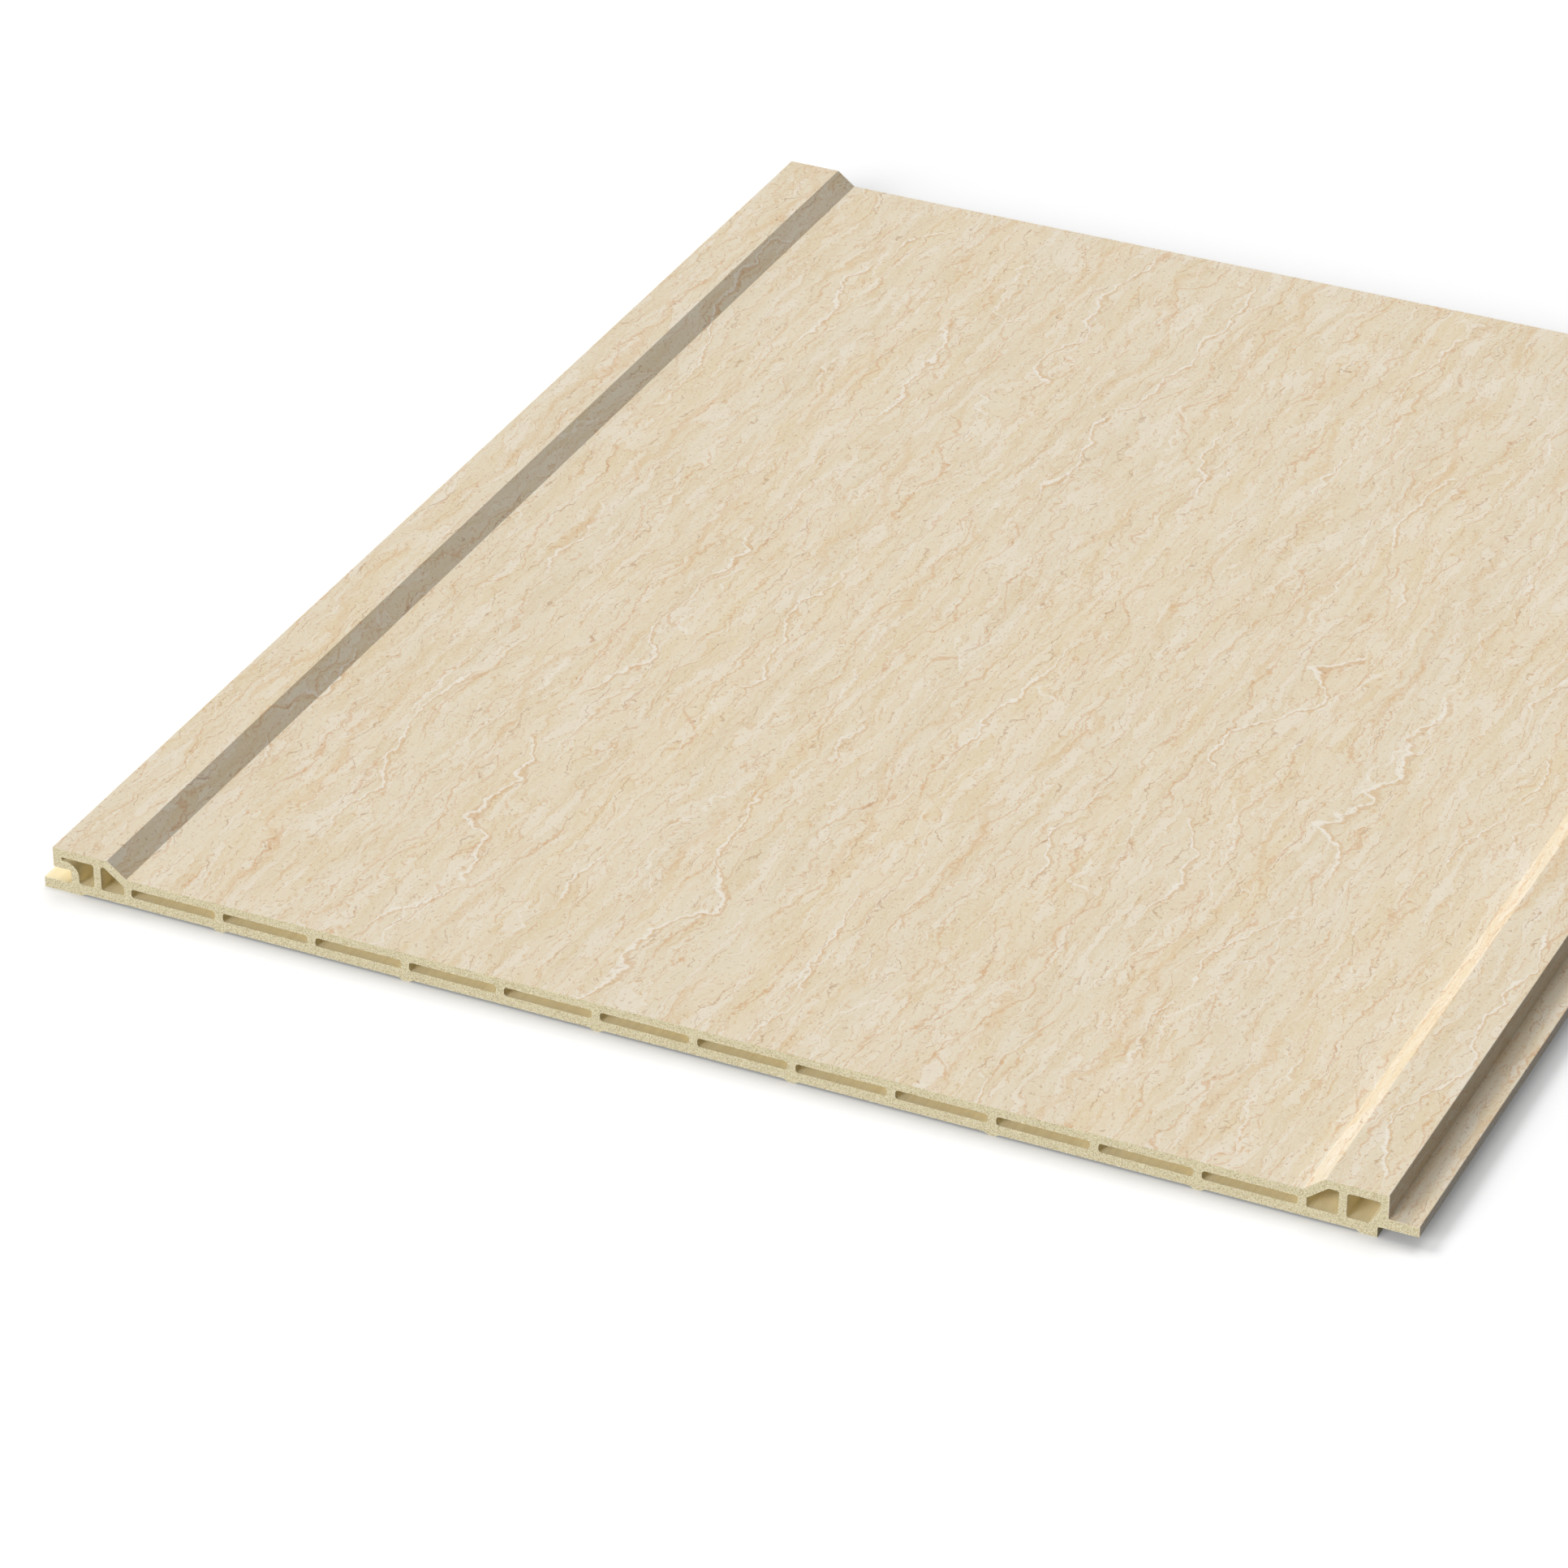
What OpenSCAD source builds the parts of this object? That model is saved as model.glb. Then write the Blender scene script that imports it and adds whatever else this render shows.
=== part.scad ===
// Hollow wood-plastic wall panel with raised rails along both long edges.
// The profile is drawn in X (width) and Z (height) as seen on the cut end, and
// extruded along Y. The panel lies face up on its back ribs. Sizes are in mm.

/* [Panel] */
// Length that the panel is cut to
panel_length = 480; // [150:10:3000]
// Width that one panel covers once the next one is joined to it
cover_width = 400; // [300:1:600]
// Height of the flat field of the core, from the floor up
field_height = 9; // [8:0.1:10.5]
// Height of the raised rails of the core, from the floor up
rail_height = 13.6; // [13.2:0.1:18]
// Thickness of the printed film on the face
film_thickness = 0.2; // [0.1:0.05:0.4]

/* [Hollow field] */
// Number of flat cells side by side under the field
cell_count = 12; // [6:2:16]
// Thickness of the webs between the cells
web_thickness = 2.45; // [1.6:0.05:4]
// Thickness of the core above the cells
face_wall = 2.6; // [2:0.1:3]
// Thickness of the core below the cells
back_wall = 3; // [2.4:0.1:3.4]
// Radius in the corners of the cells
cell_radius = 0.9; // [0.3:0.1:1.1]
// Solid strip between the edge of the field and its first cell
cell_margin = 1.35; // [0.5:0.05:3]

/* [Rails] */
// Width of the flat top of each rail
rail_top_width = 17.5; // [16.5:0.1:24]
// Width of the slope between rail and field
slope_width = 6; // [3.5:0.1:8]
// Thickness of the core around the hollows of the rails
rail_wall = 2.5; // [2.2:0.1:2.8]
// Thickness of the core at the side of the rail above the tongue
tongue_wall = 2.1; // [1.8:0.1:2.8]
// Thickness of the webs beside the hollows of the rails
rail_web = 2.3; // [1.6:0.1:3]
// Width of the hollow under the slope of the groove side
groove_side_cell_width = 7.3; // [5:0.1:8]
// Width of the hollow under the slope of the tongue side
tongue_side_cell_width = 8.8; // [7:0.1:10]
// Radius in the corners of the rail hollows
hollow_radius = 0.7; // [0.2:0.1:0.8]
// Straight part of the slot above the groove, before it bends down
slot_flat = 1.2; // [0.8:0.1:2.4]

/* [Tongue and groove] */
// Visible gap that stays between two joined rails
joint_gap = 3; // [2:0.1:4]
// Length of the tongue beyond the side of its rail
tongue_length = 8.6; // [7.6:0.1:9]
// Thickness of the tongue with its film
tongue_thickness = 3.2; // [2.8:0.1:3.4]
// Room left above a tongue in its groove
groove_play = 1; // [0.6:0.1:1.2]
// Height of the lip that closes the groove below
lip_height = 3.2; // [2.6:0.1:3.4]
// Reach of the lip beyond the side of its rail
lip_projection = 3.2; // [2:0.1:5]
// Room left between a lip and the tongue that lies on it
lip_play = 0.1; // [0:0.05:0.3]
// Room left between a lip and the foot beside it
foot_clearance = 2.6; // [1:0.1:3]
// Radius in the inner corners of the groove and under the tongue
joint_radius = 0.5; // [0.2:0.1:0.8]
// Width of the bevel inside the rail where the tongue springs from it
root_bevel_width = 3; // [1:0.1:3.5]
// Height of the same bevel
root_bevel_height = 5.2; // [2:0.1:5.5]

/* [Back ribs] */
// Height of the ribs that the back stands on
rib_height = 0.7; // [0.4:0.1:0.9]
// Width of the foot of a rib
rib_foot_width = 2; // [1:0.1:3]
// Width that each flank of a rib, foot or lip spreads as it meets the back
rib_flank = 1.2; // [0.5:0.1:2]
// Width of the foot under the tongue side
foot_width = 4.7; // [3:0.1:7]
// Width of the lip's flat underside, measured from the side of the rail
lip_underside = 8.8; // [6:0.1:11]

/* [Hidden] */
$fn = 48;

face_width = cover_width - joint_gap;
field_left = rail_top_width + slope_width;
field_right = face_width - field_left;
field_top = field_height + film_thickness;
rail_top = rail_height + film_thickness;
cell_floor = rib_height + back_wall;
cell_height = field_height - face_wall - cell_floor;
first_cell = field_left + cell_margin;
cell_pitch = (field_right - field_left - 2 * cell_margin + web_thickness) / cell_count;
cell_width = cell_pitch - web_thickness;

tongue_bottom = lip_height + lip_play;
tongue_top = tongue_bottom + tongue_thickness;
tongue_tip = face_width + tongue_length;
groove_top = tongue_top + groove_play;
groove_depth = tongue_length - joint_gap;
foot_side = face_width + joint_gap - lip_projection - foot_clearance;

panel_left = -lip_projection;
panel_middle = (panel_left + tongue_tip) / 2;

// Visible surface of the face, from the groove over both rails to the tongue's tip
FACE_PATH = [
    [0, groove_top],
    [0, rail_top],
    [rail_top_width, rail_top],
    [field_left, field_top],
    [field_right, field_top],
    [face_width - rail_top_width, rail_top],
    [face_width, rail_top],
    [face_width, tongue_top],
    [tongue_tip, tongue_top],
    [tongue_tip, tongue_bottom]
];
CORE_PATH = inset_path(FACE_PATH, film_thickness);
// The same surface one wall deeper, which the hollows under the slopes follow
WALL_PATH = inset_path(FACE_PATH, film_thickness + rail_wall);
hollow_top = WALL_PATH[2].y;
slope_rise = (rail_top - field_top) / slope_width;

function unit(v) = v / norm(v);
function last(list) = list[len(list) - 1];
function reversed(list) = [for (i = [len(list) - 1 : -1 : 0]) list[i]];
function right_of(v) = [v.y, -v.x];

// Moves a path to its right by a distance, with mitred bends
function inset_path(path, distance) = [
    for (i = [0 : len(path) - 1])
        let (
            before = unit(i == 0 ? path[1] - path[0] : path[i] - path[i - 1]),
            after = unit(i == len(path) - 1 ? path[i] - path[i - 1] : path[i + 1] - path[i]),
            side = right_of(before) + right_of(after)
        )
        path[i] + side * distance / (1 + before * after)
];

// Polygon with round corners. Each corner is [x, y, radius], counter-clockwise.
module rounded_polygon(corners) {
    count = len(corners);
    points = [for (c = corners) [c.x, c.y]];
    radii = [for (c = corners) c.z];
    to_last = [for (i = [0 : count - 1]) unit(points[(i + count - 1) % count] - points[i])];
    to_next = [for (i = [0 : count - 1]) unit(points[(i + 1) % count] - points[i])];
    half_angle = [for (i = [0 : count - 1]) acos(to_last[i] * to_next[i]) / 2];
    convex = [for (i = [0 : count - 1]) cross(to_next[i], to_last[i]) > 0];
    tangents = [
        for (i = [0 : count - 1])
            for (way = radii[i] > 0 ? [to_last[i], to_next[i]] : [[0, 0]])
                points[i] + way * radii[i] / tan(half_angle[i])
    ];
    centres = [
        for (i = [0 : count - 1])
            points[i] + unit(to_last[i] + to_next[i]) * radii[i] / sin(half_angle[i])
    ];
    difference() {
        union() {
            polygon(tangents);
            for (i = [0 : count - 1])
                if (radii[i] > 0 && convex[i]) translate(centres[i]) circle(radii[i]);
        }
        for (i = [0 : count - 1])
            if (radii[i] > 0 && !convex[i]) translate(centres[i]) circle(radii[i]);
    }
}

// Outline of the core without its back ribs and hollows
module core_outline() {
    foot_left = foot_side - foot_width;
    back_path = [
        [foot_side, tongue_bottom, joint_radius],
        [foot_side, 0, 0],
        [foot_left, 0, 0],
        [foot_left - rib_flank, rib_height, 0],
        [lip_underside + rib_flank, rib_height, 0],
        [lip_underside, 0, 0],
        [panel_left, 0, 0],
        [panel_left, lip_height, 0],
        [groove_depth, lip_height, joint_radius],
        [groove_depth, groove_top, joint_radius]
    ];
    face_path = [for (p = CORE_PATH) [p.x, p.y, 0]];
    rounded_polygon(reversed(concat(face_path, back_path)));
}

// Ribs under every second web, which keep the back off the wall
module back_ribs() {
    for (i = [1 : 2 : cell_count - 1])
        translate([first_cell + i * cell_pitch - web_thickness / 2, 0])
            polygon([
                [-rib_foot_width / 2, 0],
                [rib_foot_width / 2, 0],
                [rib_foot_width / 2 + rib_flank, rib_height],
                [rib_foot_width / 2 + rib_flank, rib_height + back_wall / 2],
                [-rib_foot_width / 2 - rib_flank, rib_height + back_wall / 2],
                [-rib_foot_width / 2 - rib_flank, rib_height]
            ]);
}

// The row of flat cells under the field
module field_cells() {
    for (i = [0 : cell_count - 1])
        translate([first_cell + i * cell_pitch, cell_floor])
            rounded_polygon([
                [0, 0, cell_radius],
                [cell_width, 0, cell_radius],
                [cell_width, cell_height, cell_radius],
                [0, cell_height, cell_radius]
            ]);
}

// Hollow beside and above the groove, which it follows one wall away
module groove_hollow() {
    left = film_thickness + rail_wall;
    right = first_cell - rail_web - groove_side_cell_width - rail_web;
    shelf = groove_top + rail_wall;
    slot_radius = min(hollow_radius, 0.45 * (hollow_top - shelf));
    rounded_polygon([
        [left, shelf, slot_radius],
        [groove_depth + rail_wall, shelf, groove_depth + rail_wall - left - slot_flat],
        [groove_depth + rail_wall, cell_floor, hollow_radius],
        [right, cell_floor, hollow_radius],
        [right, hollow_top, hollow_radius],
        [left, hollow_top, slot_radius]
    ]);
}

// Hollow under a slope. The web side is upright and the other side meets the slope.
module slope_hollow(web_side, field_side, bend) {
    slope_end = hollow_top - abs(field_side - bend) * slope_rise;
    corners = [
        [web_side, cell_floor, hollow_radius],
        [field_side, cell_floor, hollow_radius],
        [field_side, slope_end, hollow_radius],
        [bend, hollow_top, hollow_radius],
        [web_side, hollow_top, hollow_radius]
    ];
    rounded_polygon(field_side > web_side ? corners : reversed(corners));
}

// Hollow above the tongue, bevelled where the tongue springs from the rail
module tongue_hollow() {
    left = face_width - first_cell + rail_web + tongue_side_cell_width + rail_web;
    right = face_width - film_thickness - tongue_wall;
    rounded_polygon([
        [left, cell_floor, hollow_radius],
        [right - root_bevel_width, cell_floor, hollow_radius],
        [right, cell_floor + root_bevel_height, hollow_radius],
        [right, hollow_top, hollow_radius],
        [left, hollow_top, hollow_radius]
    ]);
}

module rail_hollows() {
    groove_side = first_cell - rail_web;
    tongue_side = face_width - groove_side;
    groove_hollow();
    slope_hollow(groove_side - groove_side_cell_width, groove_side, WALL_PATH[2].x);
    slope_hollow(tongue_side + tongue_side_cell_width, tongue_side, WALL_PATH[5].x);
    tongue_hollow();
}

// Stands a profile up and draws it out along the panel
module extruded_along_panel() {
    rotate([90, 0, 0])
        linear_extrude(height = panel_length, center = true)
            translate([-panel_middle, 0])
                children();
}

module core_profile() {
    color([0.83, 0.78, 0.60])
        extruded_along_panel()
            difference() {
                union() {
                    core_outline();
                    back_ribs();
                }
                field_cells();
                rail_hollows();
            }
}

module decor_film() {
    color([0.89, 0.82, 0.70])
        extruded_along_panel()
            polygon(concat(FACE_PATH, reversed(CORE_PATH)));
}

core_profile();
decor_film();
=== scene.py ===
"""Looks of a hollow wood-plastic wall panel that lies face up on a pale studio floor."""

import logging
import math
from dataclasses import dataclass
from enum import Enum

import bpy
from mathutils import Matrix, Vector


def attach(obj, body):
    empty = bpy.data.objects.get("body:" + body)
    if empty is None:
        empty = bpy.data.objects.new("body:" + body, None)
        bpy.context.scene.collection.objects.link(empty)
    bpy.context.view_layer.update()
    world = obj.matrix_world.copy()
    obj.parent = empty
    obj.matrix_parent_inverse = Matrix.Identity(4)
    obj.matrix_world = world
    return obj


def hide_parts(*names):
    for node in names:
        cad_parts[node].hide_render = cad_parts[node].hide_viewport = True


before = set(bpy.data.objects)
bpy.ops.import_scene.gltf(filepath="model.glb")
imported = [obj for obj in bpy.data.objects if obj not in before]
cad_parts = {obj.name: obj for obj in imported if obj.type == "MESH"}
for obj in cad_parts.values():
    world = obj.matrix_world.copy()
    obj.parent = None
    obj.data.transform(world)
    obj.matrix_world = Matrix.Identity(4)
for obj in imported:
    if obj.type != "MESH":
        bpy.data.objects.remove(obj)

# Metres in a millimetre
MM = 0.001

log = logging.getLogger("wall_panel")

Point = tuple[float, float]
Colour = tuple[float, float, float, float]
Socket = bpy.types.NodeSocket

BLACK: Colour = (0.0, 0.0, 0.0, 1.0)
# Average of a noise's three values, which run from 0 to 1
NOISE_MIDDLE = (0.5, 0.5, 0.5)
# Heights between which a finish's roughness goes from its first value to its second
RELIEF_SPAN = (-1.0, 1.0)
# Places of the colours on a Mix node, where each name stands for several sockets
MIX_BELOW, MIX_ABOVE, MIX_RESULT = 6, 7, 2


def linear(hex_code: str) -> Colour:
    """Turns an sRGB colour into the linear values that shaders take.

    Args:
        hex_code: the colour, such as "#e4d3b4".

    Returns:
        Red, green, blue and an alpha of 1.
    """
    channels = [int(hex_code[i : i + 2], 16) / 255 for i in (1, 3, 5)]
    red, green, blue = (
        c / 12.92 if c <= 0.04045 else ((c + 0.055) / 1.055) ** 2.4 for c in channels
    )
    return (red, green, blue, 1.0)


class ShaderGraph:
    """The node tree of one material, world or lamp, filled node by node."""

    def __init__(self, owner: bpy.types.ID) -> None:
        """Starts an empty tree.

        Args:
            owner: the material, world or lamp.
        """
        owner.use_nodes = True
        self.tree = owner.node_tree
        self.tree.nodes.clear()

    def add(
        self, kind: str, settings: dict | None = None, inputs: dict | None = None
    ) -> bpy.types.Node:
        """Adds one node.

        Args:
            kind: Blender's name of the node type.
            settings: attributes to set on the node, by name.
            inputs: what each input gets, by name or number: a value, or a socket to link from.

        Returns:
            The new node.
        """
        node = self.tree.nodes.new(kind)
        for name, value in (settings or {}).items():
            setattr(node, name, value)
        for key, value in (inputs or {}).items():
            if isinstance(value, Socket):
                self.tree.links.new(value, node.inputs[key])
            else:
                node.inputs[key].default_value = value
        return node


@dataclass(frozen=True)
class Presence:
    """Where along the stone a layer shows at all.

    Attributes:
        across_mm, along_mm: size of the places across and along the panel.
        level: noise level above which the layer shows.
        seed: shifts the pattern.
        spread: half width of the places' edges, in noise units.
    """

    across_mm: float
    along_mm: float
    level: float
    seed: float
    spread: float = 0.04

    def over(self, pattern: "LayeredPattern", shown: Socket) -> Socket:
        """Keeps what is shown to these places.

        Args:
            pattern: the pattern that the layer is part of.
            shown: what the layer would show everywhere.

        Returns:
            A socket with what is shown in these places, and 0 elsewhere.
        """
        noise = pattern.noise(self.across_mm, self.along_mm, self.seed)
        part = pattern.edge(noise, self.level, self.spread)
        both = {0: shown, 1: part}
        return pattern.graph.add("ShaderNodeMath", {"operation": "MULTIPLY"}, both).outputs[0]


@dataclass(frozen=True, kw_only=True)
class Layer:
    """One colour of a pattern, laid over those before it.

    Attributes:
        colour: sRGB hex colour.
        strength: how far it covers what lies below, from 0 to 1.
        relief: height in units of the finish's relief, negative for a dent.
        seed: shifts the pattern.
        presence: where the layer shows, or None for everywhere.
    """

    colour: str
    strength: float
    relief: float = 0.0
    seed: float
    presence: Presence | None = None

    def shape(self, pattern: "LayeredPattern") -> Socket:
        """Returns a socket that is 1 inside the layer's shapes and 0 outside."""
        raise NotImplementedError

    def mask(self, pattern: "LayeredPattern") -> Socket:
        """Returns the layer's shapes, kept to where the layer shows."""
        shown = self.shape(pattern)
        return self.presence.over(pattern, shown) if self.presence else shown


@dataclass(frozen=True, kw_only=True)
class Patch(Layer):
    """Cloudy patches.

    Attributes:
        across_mm, along_mm: typical size across and along the panel.
        level: noise level of a patch's edge.
        spread: half width of the edge, in noise units.
        detail, rough: octaves of the noise, and how much each keeps of the one before.
    """

    across_mm: float
    along_mm: float
    level: float
    spread: float
    detail: float = 3.0
    rough: float = 0.55

    def cloud(self, pattern: "LayeredPattern") -> Socket:
        """Returns the noise that the patches are cut from."""
        return pattern.noise(self.across_mm, self.along_mm, self.seed, self.detail, self.rough)

    def shape(self, pattern: "LayeredPattern") -> Socket:
        """Returns a socket that is 1 where the noise is above the level."""
        return pattern.edge(self.cloud(pattern), self.level, self.spread)


@dataclass(frozen=True, kw_only=True)
class Outline(Patch):
    """The line around patches of the same sizes and seed, with half its width as the spread."""

    def shape(self, pattern: "LayeredPattern") -> Socket:
        """Shows where the noise is near the level.

        Args:
            pattern: the pattern that the layer is part of.

        Returns:
            A socket that is 1 on the middle of the lines and 0 beside them.
        """
        add = pattern.graph.add
        heights = {0: self.cloud(pattern), 1: self.level}
        off = add("ShaderNodeMath", {"operation": "SUBTRACT"}, heights)
        far = add("ShaderNodeMath", {"operation": "ABSOLUTE"}, {0: off.outputs[0]})
        return pattern.ramp(far.outputs[0], (0.0, self.spread, 1.0, 0.0))


@dataclass(frozen=True, kw_only=True)
class Vein(Layer):
    """Lines that run along the panel side by side and wander.

    Attributes:
        spacing_mm: usual distance between two lines.
        wave_mm: size of their waves across and along the panel.
        reach_mm: how far a wave may carry a line.
        half_width_mm: half the width of a line.
        shift_mm: moves the lines aside, such as to lay painted shade beside others.
        detail: octaves of the waves.
        full_share: share of the half width that has the full colour.
    """

    spacing_mm: float
    wave_mm: tuple[float, float]
    reach_mm: float
    half_width_mm: float
    shift_mm: float = 0.0
    detail: float = 6.0
    full_share: float = 0.25

    def shape(self, pattern: "LayeredPattern") -> Socket:
        """Shows where the pushed place is near a multiple of the spacing.

        Args:
            pattern: the pattern that the layer is part of.

        Returns:
            A socket that is 1 on the middle of the lines and 0 beside them.
        """
        wave = pattern.noise(*self.wave_mm, self.seed, self.detail)
        add = pattern.graph.add
        across = add("ShaderNodeSeparateXYZ", inputs={0: pattern.place}).outputs["X"]
        start = {0: across, 1: self.seed - self.shift_mm}
        aside = add("ShaderNodeMath", {"operation": "ADD"}, start)
        # the wave runs from 0 to 1, so twice the reach carries a line that far either way
        numbers = {0: wave, 1: 2 * self.reach_mm, 2: aside.outputs[0]}
        pushed = add("ShaderNodeMath", {"operation": "MULTIPLY_ADD"}, numbers)
        half_way = {0: pushed.outputs[0], 1: self.spacing_mm / 2}
        far = add("ShaderNodeMath", {"operation": "PINGPONG"}, half_way)
        span = (self.half_width_mm * self.full_share, self.half_width_mm, 1.0, 0.0)
        return pattern.ramp(far.outputs[0], span)


@dataclass(frozen=True)
class Warp:
    """A push that noise gives the pattern, so that its lines run wavy.

    Attributes:
        across_mm, along_mm: size of the waves across and along the panel.
        reach_mm: how far a wave may push across and along.
        seed: shifts the waves.
    """

    across_mm: float
    along_mm: float
    reach_mm: tuple[float, float]
    seed: float


class LayeredPattern:
    """Stacks layers of noise into one colour and one height."""

    def __init__(self, graph: ShaderGraph, place_mm: Socket, flat: bool) -> None:
        """Starts black and level.

        Args:
            graph: the material's graph.
            place_mm: socket with the place on the surface in mm.
            flat: whether the pattern is drawn on a sheet, and not through a solid.
        """
        self.graph = graph
        self.place = place_mm
        self.dimensions = "2D" if flat else "3D"
        self.colour: Socket | Colour = BLACK
        self.height: Socket | float = 0.0

    def noise(
        self,
        across: float,
        along: float,
        seed: float,
        detail: float = 2.0,
        rough: float = 0.5,
        output: str = "Fac",
    ) -> Socket:
        """Adds a noise.

        Args:
            across, along: about what its lumps measure across and along the panel, in mm.
            seed: shifts the noise.
            detail, rough: its octaves, and how much each keeps of the one before.
            output: "Fac" for one value, or "Color" for three.

        Returns:
            The socket of that output.
        """
        cells = {"Location": (seed, -seed, seed), "Scale": (1 / across, 1 / along, 1 / across)}
        place = self.graph.add("ShaderNodeMapping", inputs={"Vector": self.place, **cells})
        look = {"Vector": place.outputs[0], "Scale": 1.0, "Detail": detail, "Roughness": rough}
        kind = {"noise_dimensions": self.dimensions}
        return self.graph.add("ShaderNodeTexNoise", kind, look).outputs[output]

    def bend(self, warp: Warp) -> None:
        """Pushes the place of all later layers about by noise.

        Args:
            warp: the push.
        """
        noise = self.noise(warp.across_mm, warp.along_mm, warp.seed, output="Color")
        add = self.graph.add
        waves = {0: noise, 1: NOISE_MIDDLE}
        middle = add("ShaderNodeVectorMath", {"operation": "SUBTRACT"}, waves)
        reach = (2 * warp.reach_mm[0], 2 * warp.reach_mm[1], 0.0)
        numbers = {0: middle.outputs[0], 1: reach, 2: self.place}
        self.place = add("ShaderNodeVectorMath", {"operation": "MULTIPLY_ADD"}, numbers).outputs[0]

    def ramp(self, value: Socket, span: tuple[float, float, float, float]) -> Socket:
        """Maps a value smoothly.

        Args:
            value: what is mapped.
            span: the two ends of its range, and what each of them becomes.

        Returns:
            A socket with the mapped value.
        """
        ends = dict(zip(("From Min", "From Max", "To Min", "To Max"), span))
        smooth = {"interpolation_type": "SMOOTHSTEP"}
        return self.graph.add("ShaderNodeMapRange", smooth, {"Value": value, **ends}).outputs[0]

    def edge(self, value: Socket, level: float, spread: float) -> Socket:
        """Returns a socket that goes from 0 to 1 as the value passes the level."""
        return self.ramp(value, (level - spread, level + spread, 0.0, 1.0))

    def lay(self, layer: Layer) -> None:
        """Lays one layer over the colour and height so far.

        Args:
            layer: the layer.
        """
        add = self.graph.add
        mask = layer.mask(self)
        cover = add("ShaderNodeMath", {"operation": "MULTIPLY"}, {0: mask, 1: layer.strength})
        colours = {MIX_BELOW: self.colour, MIX_ABOVE: linear(layer.colour)}
        mix = add("ShaderNodeMix", {"data_type": "RGBA"}, {0: cover.outputs[0], **colours})
        self.colour = mix.outputs[MIX_RESULT]
        if layer.relief:
            heights = {0: mask, 1: layer.relief, 2: self.height}
            self.height = add("ShaderNodeMath", {"operation": "MULTIPLY_ADD"}, heights).outputs[0]


@dataclass(frozen=True)
class Finish:
    """A patterned finish.

    Attributes:
        name: the material and how its surface was made.
        ground: sRGB hex colour under all layers.
        layers: what lies over the ground, from the bottom up.
        warps: waves of the pattern, large ones first.
        roughness: roughness of the hollows and of the heights.
        relief_mm: height of one unit of the layers' relief.
        ior: index of refraction of the material.
        unrolled: takes the place from the film's unrolled map, and not from the solid's own.
    """

    name: str
    ground: str
    layers: tuple[Layer, ...]
    warps: tuple[Warp, ...]
    roughness: tuple[float, float]
    relief_mm: float
    ior: float
    unrolled: bool = False

    def build(self) -> bpy.types.Material:
        """Builds the material.

        Returns:
            The material, with its colour, roughness and bump from the pattern.
        """
        material = bpy.data.materials.new(self.name)
        graph = ShaderGraph(material)
        if self.unrolled:
            place = graph.add("ShaderNodeUVMap", {"uv_map": "unrolled"}).outputs["UV"]
        else:
            place = graph.add("ShaderNodeTexCoord").outputs["Object"]
        scale = {0: place, "Scale": 1 / MM}
        in_mm = graph.add("ShaderNodeVectorMath", {"operation": "SCALE"}, scale)
        pattern = LayeredPattern(graph, in_mm.outputs[0], self.unrolled)
        pattern.colour = linear(self.ground)
        for warp in self.warps:
            pattern.bend(warp)
        for layer in self.layers:
            pattern.lay(layer)
        gloss = pattern.ramp(pattern.height, (*RELIEF_SPAN, *self.roughness))
        emboss = {"Height": pattern.height, "Distance": self.relief_mm * MM}
        bump = graph.add("ShaderNodeBump", inputs=emboss)
        looks = {
            "Base Color": pattern.colour,
            "Roughness": gloss,
            "IOR": self.ior,
            "Normal": bump.outputs[0],
        }
        shader = graph.add("ShaderNodeBsdfPrincipled", inputs=looks)
        graph.add("ShaderNodeOutputMaterial", inputs={"Surface": shader.outputs[0]})
        return material


# Where the stone has its close net of lines, its short cracks and its ridges
BUSY = Presence(across_mm=24, along_mm=120, level=0.48, seed=6.7, spread=0.08)
LIVELY = Presence(across_mm=5, along_mm=17, level=0.56, seed=21.3, spread=0.05)
RIDGES = Presence(across_mm=24, along_mm=110, level=0.52, seed=6.1, spread=0.05)
SIDE_RIDGES = Presence(across_mm=26, along_mm=60, level=0.54, seed=12.7, spread=0.05)

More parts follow.
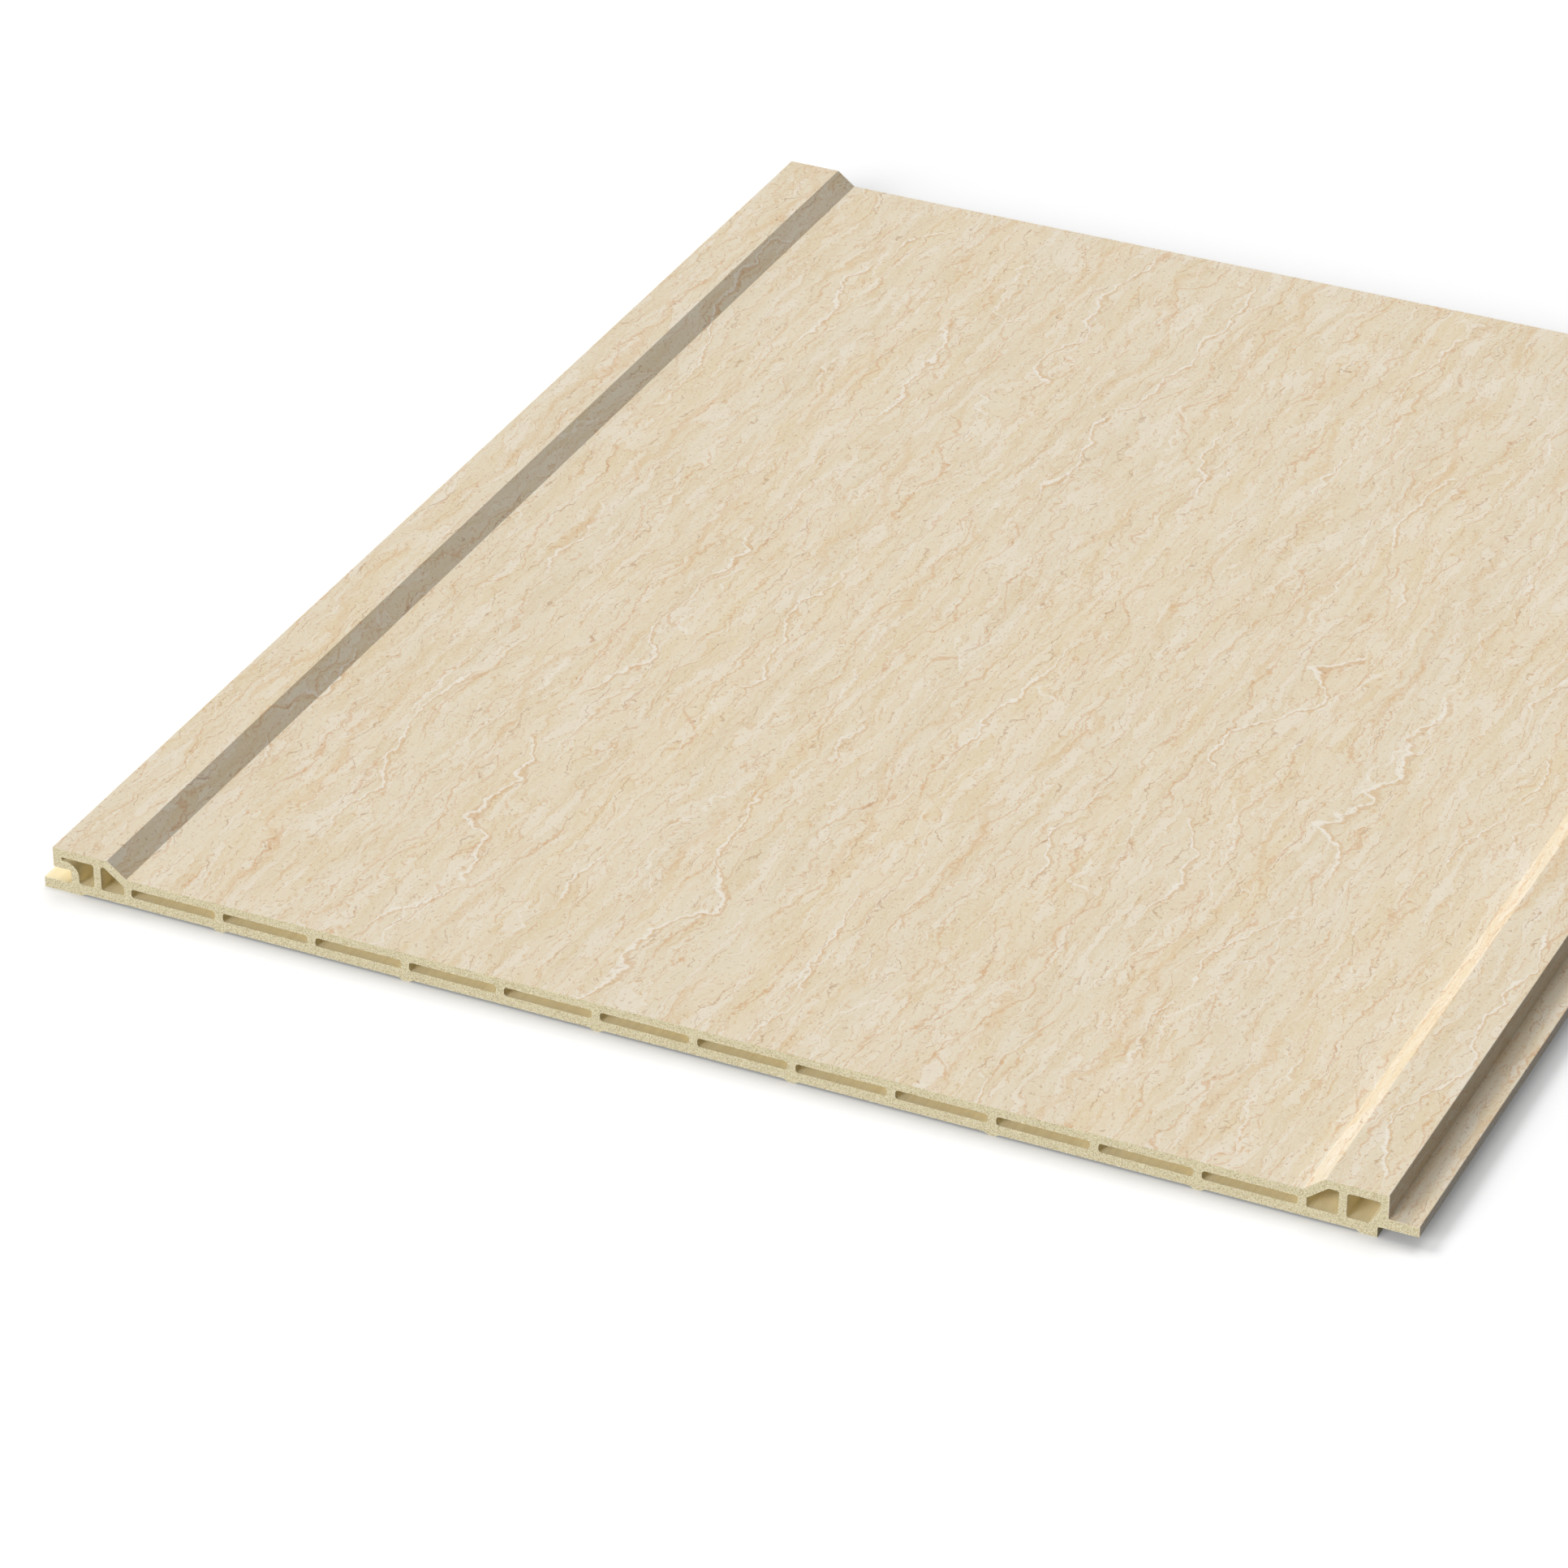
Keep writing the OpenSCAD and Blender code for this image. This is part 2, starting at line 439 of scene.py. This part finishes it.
# Printed plastic film, heat-bonded to the face and lightly embossed in register with its print:
# creamy stone with veins along its length, satin in the light
STONE_PRINT = Finish(
    name="printed film, embossed stone",
    ground="#e6d6b6",
    layers=(
        # broad bands that make the face warmer and cooler from side to side
        Patch(
            colour="#ecd5aa", strength=0.35, seed=3.1,
            across_mm=26, along_mm=260, level=0.5, spread=0.15,
        ),
        Patch(
            colour="#dfd2b8", strength=0.3, seed=11.7,
            across_mm=13, along_mm=160, level=0.53, spread=0.12,
        ),
        # soft pale and warm streaks
        Patch(
            colour="#eee3cd", strength=0.35, seed=23.9,
            across_mm=2.6, along_mm=46, level=0.52, spread=0.08,
        ),
        Patch(
            colour="#dfc294", strength=0.35, seed=27.7,
            across_mm=1.8, along_mm=34, level=0.59, spread=0.06,
        ),
        # cream islands, the smaller ones with a warm shore
        Patch(
            colour="#eee3ce", strength=0.35, seed=31.3,
            across_mm=7, along_mm=50, level=0.5, spread=0.025,
            detail=5, rough=0.5,
        ),
        Patch(
            colour="#f2e9d8", strength=0.4, relief=0.1, seed=37.7,
            across_mm=4, along_mm=24, level=0.57, spread=0.02,
            detail=4, rough=0.5,
        ),
        Outline(
            colour="#d7a974", strength=0.6, seed=37.7,
            across_mm=4, along_mm=24, level=0.553, spread=0.014,
            detail=4, rough=0.5,
        ),
        # thin ragged warm lines, in places close together
        Outline(
            colour="#d4a570", strength=0.5, seed=35.9,
            across_mm=5, along_mm=30, level=0.5, spread=0.011,
            detail=5, rough=0.55, presence=BUSY,
        ),
        Vein(
            colour="#d6a36c", strength=0.5, seed=47.1,
            spacing_mm=13, wave_mm=(40, 50), reach_mm=14, half_width_mm=0.5,
            presence=Presence(across_mm=10, along_mm=60, level=0.49, seed=8.9),
        ),
        Vein(
            colour="#d39f68", strength=0.42, seed=49.9,
            spacing_mm=8, wave_mm=(26, 34), reach_mm=8, half_width_mm=0.36,
            presence=Presence(across_mm=8, along_mm=34, level=0.51, seed=14.1),
        ),
        Vein(
            colour="#b07d48", strength=0.5, seed=61.3,
            spacing_mm=7, wave_mm=(14, 22), reach_mm=6, half_width_mm=0.24,
            presence=LIVELY,
        ),
        # soft warm veins that follow the length
        Vein(
            colour="#dfbc8a", strength=0.4, seed=41.9,
            spacing_mm=37, wave_mm=(70, 60), reach_mm=16, half_width_mm=1.8,
            presence=Presence(across_mm=16, along_mm=90, level=0.48, seed=2.3),
        ),
        # pale raised ridges, with painted shade in warm brown along one side of each
        Vein(
            colour="#d4ab78", strength=0.5, seed=53.9,
            spacing_mm=37, wave_mm=(90, 75), reach_mm=28, half_width_mm=0.9, shift_mm=0.9,
            presence=RIDGES,
        ),
        Vein(
            colour="#f8f1e4", strength=0.75, relief=0.4, seed=53.9,
            spacing_mm=37, wave_mm=(90, 75), reach_mm=28, half_width_mm=0.65,
            presence=RIDGES,
        ),
        Vein(
            colour="#f6eee0", strength=0.65, relief=0.3, seed=59.3,
            spacing_mm=27, wave_mm=(50, 44), reach_mm=19, half_width_mm=0.5,
            presence=SIDE_RIDGES,
        ),
        # fine speckle of the stone and of the print's dots, too fine to show at its real 0.2 mm and
        # therefore drawn as coarse as it needs to be
        Patch(
            colour="#b98f60", strength=0.5, relief=-0.15, seed=71.9,
            across_mm=0.8, along_mm=1.6, level=0.67, spread=0.04,
        ),
        Patch(
            colour="#f4ecde", strength=0.3, seed=83.3,
            across_mm=0.7, along_mm=1.2, level=0.59, spread=0.07,
        ),
    ),
    warps=(
        Warp(across_mm=30, along_mm=60, reach_mm=(5, 0), seed=5.5),
        Warp(across_mm=6, along_mm=10, reach_mm=(1.7, 2.0), seed=17.3),
        Warp(across_mm=2.0, along_mm=2.6, reach_mm=(0.8, 0.9), seed=29.1),
        Warp(across_mm=0.7, along_mm=0.8, reach_mm=(0.25, 0.25), seed=43.7),
    ),
    roughness=(0.46, 0.34),
    relief_mm=0.05,
    ior=1.53,
    unrolled=True,
)

# Wood-plastic composite as it leaves the die: straw-coloured and even, with faint lines drawn
# along the length. The real lines, of about 0.1 mm, would not show and are drawn coarser.
DRAWN_COMPOSITE = Finish(
    name="wood-plastic composite, drawn by the die",
    # the ground is paler than the composite itself: painted light that brightens the shaded insides
    # of the cells
    ground="#fef1c9",
    layers=(
        Patch(
            colour="#f0e0b4", strength=0.5, relief=0.6, seed=7.7,
            across_mm=1.2, along_mm=260, level=0.5, spread=0.12,
        ),
        Patch(
            colour="#fdf3d2", strength=0.4, relief=0.3, seed=19.1,
            across_mm=0.5, along_mm=90, level=0.56, spread=0.08,
        ),
        Patch(
            colour="#dfcc9b", strength=0.4, relief=-0.2, seed=33.3,
            across_mm=0.6, along_mm=1.8, level=0.66, spread=0.05,
        ),
    ),
    warps=(),
    roughness=(0.6, 0.5),
    relief_mm=0.02,
    ior=1.49,
)

# The same composite where a fine saw cut it: matt, with the grains of wood flour laid open.
# The grains of about 0.15 mm are drawn as coarse as they need to be to show.
SAWN_COMPOSITE = Finish(
    name="wood-plastic composite, sawn",
    ground="#e4d8b1",
    layers=(
        Patch(
            colour="#cdbc8c", strength=0.8, relief=-0.6, seed=5.9,
            across_mm=0.55, along_mm=0.55, level=0.55, spread=0.04,
        ),
        Patch(
            colour="#fbf5de", strength=0.8, relief=0.6, seed=15.7,
            across_mm=0.45, along_mm=0.45, level=0.56, spread=0.04,
        ),
        Patch(
            colour="#ab9763", strength=0.7, relief=-0.8, seed=27.1,
            across_mm=0.4, along_mm=0.4, level=0.64, spread=0.04,
        ),
    ),
    warps=(),
    roughness=(0.9, 0.75),
    relief_mm=0.08,
    ior=1.49,
)


@dataclass(frozen=True)
class Bend:
    """A point where the film turns, at (across, up) in mm, and the radius that it turns with."""

    place: Point
    radius: float = 0.0


@dataclass
class DecorFilm:
    """The printed film, wrapped from the groove over both rails to the tongue's tip. All in mm.

    Attributes:
        length: length of the panel.
        face_width: width of the face between the sides of the two rails.
        rail_top, field_top: height of the rails and of the field, with the film.
        rail_top_width: width of the flat top of each rail.
        slope_width: width of the slope between rail and field.
        groove_top: height above the groove at which the film starts.
        tongue_length: reach of the tongue beyond the side of its rail.
        tongue_top, tongue_bottom: heights between which the tongue lies.
        thickness: thickness of the film.
        middle: distance from the side of the left rail to the middle of the panel.
        outer_radius, inner_radius: radius of a bend over an edge, and of one into a corner.
        steps_per_bend: number of faces that make a bend.
    """

    length: float = 480.0
    face_width: float = 397.0
    rail_top: float = 13.8
    field_top: float = 9.2
    rail_top_width: float = 17.5
    slope_width: float = 6.0
    groove_top: float = 7.5
    tongue_length: float = 8.6
    tongue_top: float = 6.5
    tongue_bottom: float = 3.3
    thickness: float = 0.2
    middle: float = 201.2
    outer_radius: float = 0.25
    inner_radius: float = 0.25
    steps_per_bend: int = 6

    def bends(self) -> list[Bend]:
        """Finds where the film turns.

        Returns:
            The bends of its visible surface, from the groove to the tongue.
        """
        field_left = self.rail_top_width + self.slope_width
        tip = self.face_width + self.tongue_length
        out, into = self.outer_radius, self.inner_radius
        places = [
            ((0.0, self.groove_top), 0.0),
            ((0.0, self.rail_top), out),
            ((self.rail_top_width, self.rail_top), out),
            ((field_left, self.field_top), into),
            ((self.face_width - field_left, self.field_top), into),
            ((self.face_width - self.rail_top_width, self.rail_top), out),
            ((self.face_width, self.rail_top), out),
            ((self.face_width, self.tongue_top), into),
            ((tip, self.tongue_top), out),
            ((tip, self.tongue_bottom), 0.0),
        ]
        return [Bend((x - self.middle, z), radius) for (x, z), radius in places]

    def section(self) -> tuple[list[Vector], list[Vector]]:
        """Works out the film's section.

        Returns:
            Points of the visible side and of the bonded side, one for one.
        """
        bends = self.bends()
        places = [Vector(b.place) for b in bends]
        outer: list[Vector] = []
        inner: list[Vector] = []
        for i, bend in enumerate(bends):
            here = places[i]
            back = (places[i - 1] - here).normalized() if i else (here - places[1]).normalized()
            ahead = (places[i + 1] - here).normalized() if i + 1 < len(bends) else -back
            side_back = Vector((-back.y, back.x))
            side_ahead = Vector((ahead.y, -ahead.x))
            mitre = (side_back + side_ahead) * self.thickness / (1 + side_back.dot(side_ahead))
            if not bend.radius:
                outer.append(here)
                inner.append(here + mitre)
                continue
            half = back.angle(ahead) / 2
            centre = here + (back + ahead).normalized() * bend.radius / math.sin(half)
            start = here + back * bend.radius / math.tan(half) - centre
            end = here + ahead * bend.radius / math.tan(half) - centre
            for step in range(self.steps_per_bend + 1):
                spoke = start.slerp(end, step / self.steps_per_bend).normalized()
                outer.append(centre + spoke * bend.radius)
                inner.append(here + mitre)
        return outer, inner

    def mesh(self) -> bpy.types.Mesh:
        """Builds the film as one closed skin.

        Returns:
            The mesh, with a map that unrolls the film in metres.
        """
        outer, inner = self.section()
        count = len(outer)
        run = [0.0]
        for before, after in zip(outer, outer[1:]):
            run.append(run[-1] + (after - before).length)
        half = self.length / 2
        rows = [(side, y) for side in (outer, inner) for y in (-half, half)]
        vertices = [(p.x * MM, y * MM, p.y * MM) for side, y in rows for p in side]
        near_out, far_out, near_in, far_in = (range(k * count, (k + 1) * count) for k in range(4))
        faces = [(near_in[0], far_in[0], far_out[0], near_out[0])]
        faces.append((near_out[-1], far_out[-1], far_in[-1], near_in[-1]))
        for i in range(count - 1):
            j = i + 1
            faces.append((near_out[i], near_out[j], far_out[j], far_out[i])[::-1])
            if inner[i] == inner[j]:
                faces.append((near_out[i], near_in[i], near_out[j])[::-1])
                faces.append((far_out[i], far_out[j], far_in[i])[::-1])
            else:
                faces.append((near_in[i], far_in[i], far_in[j], near_in[j])[::-1])
                faces.append((near_out[i], near_in[i], near_in[j], near_out[j])[::-1])
                faces.append((far_out[i], far_out[j], far_in[j], far_in[i])[::-1])
        mesh = bpy.data.meshes.new("decor film")
        mesh.from_pydata(vertices, [], faces)
        unrolled = mesh.uv_layers.new(name="unrolled")
        for loop in mesh.loops:
            vertex = loop.vertex_index
            unrolled.data[loop.index].uv = (run[vertex % count] * MM, vertices[vertex][1])
        return mesh

    def build(self) -> bpy.types.Object:
        """Builds the film in place of its plain frame node.

        Returns:
            The film.
        """
        mesh = self.mesh()
        mesh.materials.append(STONE_PRINT.build())
        film = bpy.data.objects.new("printed_stone_film", mesh)
        bpy.context.scene.collection.objects.link(film)
        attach(film, "root")
        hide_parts("decor_film")
        return film


class CoreSurface(Enum):
    """The two kinds of surface on the core, by the slot that each takes."""

    DRAWN = 0
    SAWN = 1


@dataclass
class CompositeCore:
    """The extruded core, kept as its frame node and dressed.

    Attributes:
        node: the core's name in the frame.
        end_facing: share of a face's direction that runs along the panel on a sawn end.
    """

    node: str = "core_profile"
    end_facing: float = 0.9

    def surface(self, face: bpy.types.MeshPolygon) -> CoreSurface:
        """Tells a sawn end from a wall that the die drew."""
        return CoreSurface.SAWN if abs(face.normal.y) > self.end_facing else CoreSurface.DRAWN

    def build(self) -> bpy.types.Object:
        """Gives the core its two finishes.

        Returns:
            The core.
        """
        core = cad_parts[self.node]
        core.data.materials.clear()
        for finish in (DRAWN_COMPOSITE, SAWN_COMPOSITE):
            core.data.materials.append(finish.build())
        for face in core.data.polygons:
            face.material_index = self.surface(face).value
        return core


@dataclass(frozen=True)
class Softbox:
    """A distant soft light.

    Attributes:
        name: what the light is for.
        comes_from: direction from the panel to the light.
        strength: its power on a surface that faces it.
        spread: how wide the light looks from the panel, in degrees.
    """

    name: str
    comes_from: tuple[float, float, float]
    strength: float
    spread: float

    def build(self) -> None:
        """Adds the light to the set."""
        data = bpy.data.lights.new(self.name, "SUN")
        data.energy = self.strength
        data.angle = math.radians(self.spread)
        lamp = bpy.data.objects.new(self.name, data)
        lamp.rotation_euler = Vector(self.comes_from).to_track_quat("Z", "Y").to_euler()
        bpy.context.scene.collection.objects.link(lamp)


@dataclass
class Studio:
    """Pale floor, soft light from the left, and the camera. Lengths in metres, angles in degrees.

    Attributes:
        floor_size: length of the floor's sides.
        floor_colour: the floor as the camera sees it.
        floor_return: the floor as it lights the panel, darker so that the undersides stay in shade.
        floor_lift: how much the floor is lifted towards white.
        contact_depth: how far the floor's painted shadow reaches beside the panel.
        contact_share: how much of the floor's white the painted shadow takes where the panel hides
            all light.
        sky_strength: power of the even light all round.
        lamps: the three soft lights.
        camera_place, camera_turn, camera_dip, camera_roll: where the camera stands and looks.
        lens_mm, sensor_mm, clip_start: its lens.
    """

    floor_size: float = 8.0
    floor_colour: str = "#ebebeb"
    floor_return: str = "#6c6c6c"
    floor_lift: float = 0.3
    contact_depth: float = 0.012
    contact_share: float = 0.5
    sky_strength: float = 0.06
    lamps: tuple[Softbox, ...] = (
        Softbox(
            name="key light from the left",
            comes_from=(-0.64, 0.09, 0.76),
            strength=1.4,
            spread=24.0,
        ),
        Softbox(
            name="low light on the cut end",
            comes_from=(-0.35, -0.90, 0.27),
            strength=3.2,
            spread=44.0,
        ),
        Softbox(
            name="light from above and behind",
            comes_from=(-0.07, 0.5, 0.87),
            strength=0.8,
            spread=34.0,
        ),
    )
    camera_place: tuple[float, float, float] = (0.6385, -1.5254, 0.9630)
    camera_turn: float = 25.53
    camera_dip: float = 31.42
    camera_roll: float = 0.212
    lens_mm: float = 147.94
    sensor_mm: float = 36.0
    clip_start: float = 0.01

    def rays_to_background(self, graph: ShaderGraph) -> Socket:
        """Tells the rays that see the background white.

        Args:
            graph: the graph to work in.

        Returns:
            A socket that is 1 for rays from the camera, a gloss or a glass, and 0 for the rest.
        """
        path = graph.add("ShaderNodeLightPath")
        seen = path.outputs["Is Camera Ray"]
        for kind in ("Is Glossy Ray", "Is Transmission Ray"):
            either = {0: seen, 1: path.outputs[kind]}
            seen = graph.add("ShaderNodeMath", {"operation": "MAXIMUM"}, either).outputs[0]
        return seen

    def floor(self) -> bpy.types.Object:
        """Builds the floor, which is seen white and shaded, with a painted shadow beside the panel,
        but throws little light back.

        Returns:
            The floor.
        """
        half = self.floor_size / 2
        corners = [(-half, -half, 0), (half, -half, 0), (half, half, 0), (-half, half, 0)]
        mesh = bpy.data.meshes.new("floor")
        mesh.from_pydata(corners, [], [(0, 1, 2, 3)])
        # Seamless studio paper, rolled and matt: white to the eye, with a painted shadow that
        # darkens it beside the panel
        material = bpy.data.materials.new("white paper floor")
        graph = ShaderGraph(material)
        # painted shadow: occlusion near the panel darkens the floor's colour and its lift
        near = graph.add("ShaderNodeAmbientOcclusion", inputs={"Distance": self.contact_depth})
        open_share = {"Value": near.outputs["AO"], "To Min": 1 - self.contact_share}
        shade = graph.add("ShaderNodeMapRange", inputs=open_share).outputs[0]
        tints = {0: shade, MIX_BELOW: BLACK, MIX_ABOVE: linear(self.floor_colour)}
        tinted = graph.add("ShaderNodeMix", {"data_type": "RGBA"}, tints).outputs[MIX_RESULT]
        paper = graph.add("ShaderNodeBsdfDiffuse", inputs={"Color": tinted})
        lifted = {0: shade, 1: self.floor_lift}
        lift = graph.add("ShaderNodeMath", {"operation": "MULTIPLY"}, lifted)
        glow = graph.add("ShaderNodeEmission", inputs={"Strength": lift.outputs[0]})
        white = graph.add("ShaderNodeAddShader", inputs={0: paper.outputs[0], 1: glow.outputs[0]})
        grey = graph.add("ShaderNodeBsdfDiffuse", inputs={"Color": linear(self.floor_return)})
        seen = self.rays_to_background(graph)
        ways = {0: seen, 1: grey.outputs[0], 2: white.outputs[0]}
        both = graph.add("ShaderNodeMixShader", inputs=ways)
        graph.add("ShaderNodeOutputMaterial", inputs={"Surface": both.outputs[0]})
        mesh.materials.append(material)
        floor = bpy.data.objects.new("floor", mesh)
        bpy.context.scene.collection.objects.link(floor)
        return floor

    def sky(self) -> None:
        """Surrounds the set with even light, and shows white behind it."""
        world = bpy.data.worlds.new("studio")
        graph = ShaderGraph(world)
        seen = self.rays_to_background(graph)
        span = {"Value": seen, "To Min": self.sky_strength, "To Max": 1.0}
        strength = graph.add("ShaderNodeMapRange", inputs=span)
        light = graph.add("ShaderNodeBackground", inputs={"Strength": strength.outputs[0]})
        graph.add("ShaderNodeOutputWorld", inputs={"Surface": light.outputs[0]})
        bpy.context.scene.world = world

    def camera(self) -> bpy.types.Object:
        """Sets the camera at the photo's angle.

        Returns:
            The camera.
        """
        data = bpy.data.cameras.new("camera")
        data.sensor_width = self.sensor_mm
        data.lens = self.lens_mm
        data.clip_start = self.clip_start
        camera = bpy.data.objects.new("camera", data)
        turn = Matrix.Rotation(math.radians(self.camera_turn), 4, "Z")
        tilt = Matrix.Rotation(math.radians(90 - self.camera_dip), 4, "X")
        roll = Matrix.Rotation(-math.radians(self.camera_roll), 4, "Z")
        camera.matrix_world = Matrix.Translation(self.camera_place) @ turn @ tilt @ roll
        bpy.context.scene.collection.objects.link(camera)
        bpy.context.scene.camera = camera
        return camera

    def build(self) -> None:
        """Builds the whole set."""
        self.floor()
        self.sky()
        for lamp in self.lamps:
            lamp.build()
        self.camera()
        bpy.context.scene.view_settings.view_transform = "Standard"


def main() -> None:
    """Dresses the panel, sets the studio around it and logs the face count of each built piece."""
    logging.basicConfig(level=logging.INFO, format="%(message)s")
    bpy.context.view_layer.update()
    for piece in (CompositeCore(), DecorFilm()):
        built = piece.build()
        log.info("%s: %d faces", built.name, len(built.data.polygons))
    Studio().build()
    log.info("studio set")


if __name__ == "__main__":
    main()
